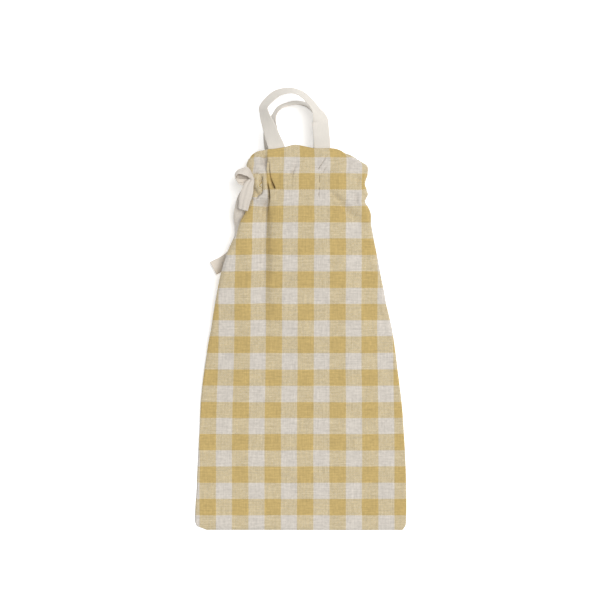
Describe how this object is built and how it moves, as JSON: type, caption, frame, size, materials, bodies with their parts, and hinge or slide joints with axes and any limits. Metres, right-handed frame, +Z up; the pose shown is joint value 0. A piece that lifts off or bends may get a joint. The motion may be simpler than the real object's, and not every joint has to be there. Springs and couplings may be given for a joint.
{
  "type": "linen bread bag",
  "caption": "Long gingham linen drawstring bag for bread, open at the mouth, with tape handles, lying on its back.",
  "frame": {"origin": "centre of the overall box in X and Y, on the surface that the bag lies on", "axes": "+X across the bag, to the right when it is seen from its front; +Y along the bag towards the mouth and handles; +Z up, out of the front panel"},
  "size_m": [0.2694, 0.5594, 0.0608],
  "materials": {
    "gingham_linen": "plain-woven linen in a mustard and natural white check, matt, slightly slubbed",
    "cotton_tape": "herringbone cotton tape, natural white, matt",
    "drawstring_tape": "soft plain-woven tape, natural beige-white, matt"
  },
  "bodies": {
    "root": {"front_panel": "gingham_linen", "back_panel": "gingham_linen", "handle_front": "cotton_tape", "handle_back": "cotton_tape", "drawstring": "drawstring_tape"}
  },
  "joints": []
}
